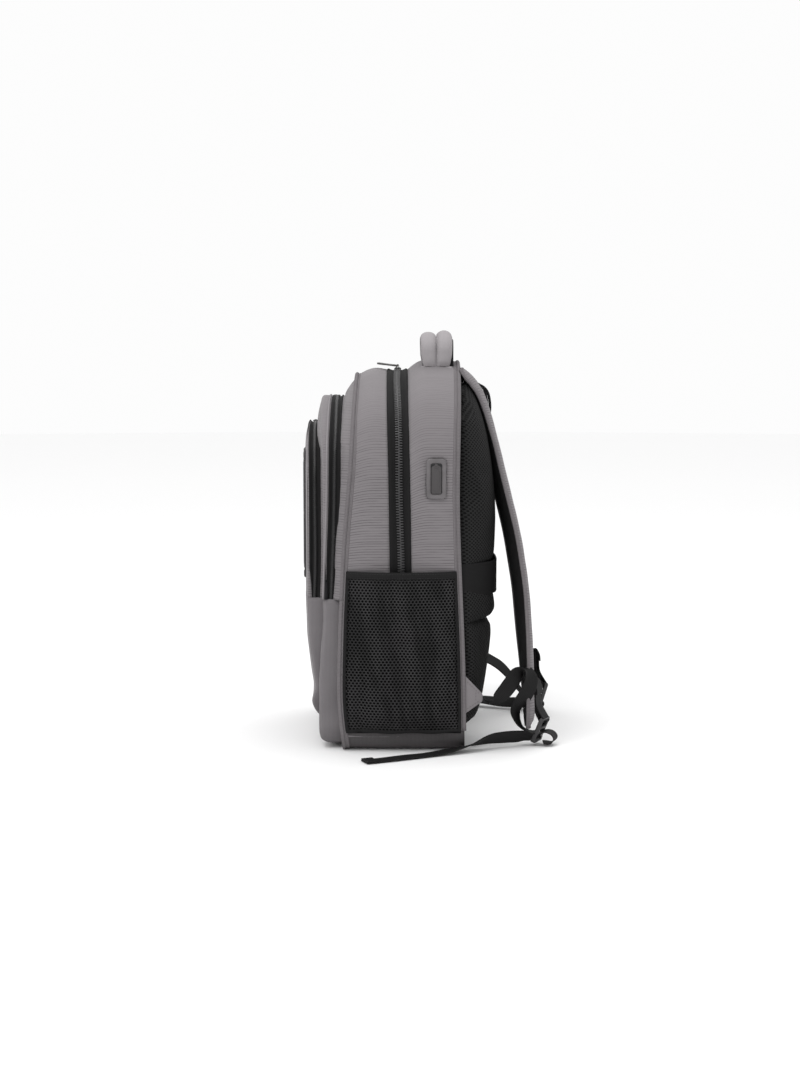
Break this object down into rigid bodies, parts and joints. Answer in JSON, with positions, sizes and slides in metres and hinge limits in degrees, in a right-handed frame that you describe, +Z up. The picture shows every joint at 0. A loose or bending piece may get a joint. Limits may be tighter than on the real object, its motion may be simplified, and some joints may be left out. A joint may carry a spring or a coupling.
{
  "type": "solar backpack",
  "caption": "Rucksack with three zipped compartments, stretch side pockets, padded straps, a charging port on one side and a solar panel on its front.",
  "frame": {"origin": "centre of the flat base, on the surface that the bag stands on", "axes": "+Z up, +Y towards the wearer's back (the shoulder straps), -Y towards the front pockets, +X towards the wearer's right side, which has the charging port"},
  "size_m": [0.4382, 0.3151, 0.501],
  "materials": {
    "grey_polyester": "ribbed two-tone weave, matt",
    "grey_binding": "folded bias tape over cord",
    "black_webbing": "flat woven webbing",
    "black_air_mesh": "three-layer spacer mesh",
    "black_stretch_mesh": "knitted stretch mesh",
    "zip_black": "woven tape and nylon coil",
    "zip_metal": "dark plated zinc",
    "buckle_plastic": "moulded acetal",
    "port_plastic": "fine moulded grain",
    "port_rubber": "soft matt rubber",
    "lining": "plain lining over foam",
    "stiffener": "plain sheet",
    "battery_case": "satin",
    "cable_jacket": "satin",
    "steel": "nickel plated",
    "solar_fabric": "coated weave, edge stitched",
    "solar_resin": "textured encapsulant",
    "solar_silicon": "monocrystalline cell under film"
  },
  "bodies": {
    "pack": {"base_panel": "grey_polyester", "rear_gusset": "grey_polyester", "back_panel": "black_air_mesh", "frame_sheet": "stiffener", "base_board": "stiffener", "lower_tub": "grey_polyester", "laptop_divider": "lining", "upper_back_pads": "black_air_mesh", "lumbar_pads": "black_air_mesh", "lower_back_pads": "black_air_mesh", "luggage_strap": "black_webbing", "back_piping": "grey_binding", "front_piping_lower": "grey_binding", "middle_pocket_lower": "grey_polyester", "front_pocket_lower": "grey_polyester", "main_zip_rear": "zip_black", "strap_yoke": "grey_polyester", "handle_anchors": "grey_polyester", "strap_tab_right": "grey_polyester", "strap_tab_left": "grey_polyester", "port_frame": "port_plastic", "port_socket": "steel", "power_bank": "battery_case", "power_bank_sleeve": "lining", "charging_lead": "cable_jacket"},
    "main_flap": {"main_front_panel": "grey_polyester", "front_piping_upper": "grey_binding", "main_zip_front": "zip_black", "middle_pocket_rear": "grey_polyester", "middle_zip_rear": "zip_black"},
    "middle_flap": {"middle_pocket_front": "grey_polyester", "middle_zip_front": "zip_black", "front_zip_rear": "zip_black"},
    "front_flap": {"front_face": "grey_polyester", "front_zip_front": "zip_black", "solar_border": "solar_fabric", "solar_laminate": "solar_resin", "solar_cells": "solar_silicon", "solar_snaps": "steel", "junction_box": "port_plastic"},
    "port_cover": {"port_cover": "port_rubber"},
    "main_slider_right": {"main_slider_right": "zip_metal"},
    "main_slider_left": {"main_slider_left": "zip_metal"},
    "middle_slider": {"middle_slider": "zip_metal"},
    "front_slider": {"front_slider": "zip_metal"},
    "main_pull_right": {"main_pull_right": "zip_metal"},
    "main_pull_left": {"main_pull_left": "zip_metal"},
    "middle_pull": {"middle_pull": "zip_metal"},
    "front_pull": {"front_pull": "zip_metal"},
    "mesh_pocket_right": {"mesh_pocket_right": "black_stretch_mesh"},
    "mesh_pocket_left": {"mesh_pocket_left": "black_stretch_mesh"},
    "top_handle": {"top_handle": "grey_polyester"},
    "strap_right": {"strap_right": "grey_polyester", "strap_mesh_right": "black_air_mesh", "strap_webbing_right": "black_webbing"},
    "strap_left": {"strap_left": "grey_polyester", "strap_mesh_left": "black_air_mesh", "strap_webbing_left": "black_webbing"},
    "ladder_lock_right": {"ladder_lock_right": "buckle_plastic"},
    "ladder_lock_left": {"ladder_lock_left": "buckle_plastic"}
  },
  "joints": [
    {"name": "main_open", "type": "hinge", "parent": "pack", "child": "main_flap", "pos_m": [0, -0.123, 0.183], "axis": [1, 0, 0], "range_deg": [0, 35]},
    {"name": "middle_open", "type": "hinge", "parent": "main_flap", "child": "middle_flap", "pos_m": [0, -0.123, 0.183], "axis": [1, 0, 0], "range_deg": [0, 25]},
    {"name": "front_open", "type": "hinge", "parent": "middle_flap", "child": "front_flap", "pos_m": [0, -0.123, 0.183], "axis": [1, 0, 0], "range_deg": [0, 30]},
    {"name": "port_cover_open", "type": "hinge", "parent": "pack", "child": "port_cover", "pos_m": [0.153, 0.043, 0.312], "axis": [0, 1, 0], "range_deg": [0, 90], "stiffness_Nm_per_rad": 0.002, "springref_deg": -17.19},
    {"name": "main_zip_right", "type": "hinge", "parent": "main_flap", "child": "main_slider_right", "pos_m": [0, -0.003, 0.277], "axis": [0, 1, 0], "range_deg": [-2.5, 31]},
    {"name": "main_zip_left", "type": "hinge", "parent": "main_flap", "child": "main_slider_left", "pos_m": [0, -0.003, 0.277], "axis": [0, -1, 0], "range_deg": [-2.5, 31]},
    {"name": "middle_zip", "type": "hinge", "parent": "middle_flap", "child": "middle_slider", "pos_m": [0, -0.0825, 0.244], "axis": [0, 1, 0], "range_deg": [-22, 50]},
    {"name": "front_zip", "type": "hinge", "parent": "front_flap", "child": "front_slider", "pos_m": [0, -0.108, 0.211], "axis": [0, 1, 0], "range_deg": [-24, 48]},
    {"name": "main_pull_right_swing", "type": "hinge", "parent": "main_slider_right", "child": "main_pull_right", "pos_m": [0.0161, -0.003, 0.461], "axis": [-0.9962, 0, 0.0872], "range_deg": [-6, 150]},
    {"name": "main_pull_left_swing", "type": "hinge", "parent": "main_slider_left", "child": "main_pull_left", "pos_m": [-0.0161, -0.003, 0.461], "axis": [-0.9962, 0, -0.0872], "range_deg": [-6, 150]},
    {"name": "middle_pull_swing", "type": "hinge", "parent": "middle_slider", "child": "middle_pull", "pos_m": [-0.04456, -0.0825, 0.42273], "axis": [0, 1, 0], "range_deg": [-8, 120]},
    {"name": "front_pull_swing", "type": "hinge", "parent": "front_slider", "child": "front_pull", "pos_m": [-0.0383, -0.108, 0.39117], "axis": [0, 1, 0], "range_deg": [-8, 120]},
    {"name": "mesh_mouth_right", "type": "hinge", "parent": "pack", "child": "mesh_pocket_right", "pos_m": [0.1506, 0, 0.024], "axis": [0, 1, 0], "range_deg": [0, 10], "stiffness_Nm_per_rad": 0.3, "springref_deg": -5.73},
    {"name": "mesh_mouth_left", "type": "hinge", "parent": "pack", "child": "mesh_pocket_left", "pos_m": [-0.1506, 0, 0.024], "axis": [0, -1, 0], "range_deg": [0, 10], "stiffness_Nm_per_rad": 0.3, "springref_deg": -5.73},
    {"name": "handle_lean", "type": "hinge", "parent": "pack", "child": "top_handle", "pos_m": [0, 0.045, 0.467], "axis": [1, 0, 0], "range_deg": [-30, 30], "stiffness_Nm_per_rad": 0.3},
    {"name": "strap_swing_right", "type": "hinge", "parent": "pack", "child": "strap_right", "pos_m": [0.05, 0.08, 0.449], "axis": [1, 0, 0], "range_deg": [0, 12]},
    {"name": "strap_swing_left", "type": "hinge", "parent": "pack", "child": "strap_left", "pos_m": [-0.05, 0.08, 0.449], "axis": [1, 0, 0], "range_deg": [0, 12]},
    {"name": "lock_tilt_right", "type": "hinge", "parent": "strap_right", "child": "ladder_lock_right", "pos_m": [0.112, 0.176, 0.031], "axis": [1, 0, 0], "range_deg": [-10, 35]},
    {"name": "lock_tilt_left", "type": "hinge", "parent": "strap_left", "child": "ladder_lock_left", "pos_m": [-0.112, 0.19053, 0.0346], "axis": [1, 0, 0], "range_deg": [-10, 35]}
  ]
}
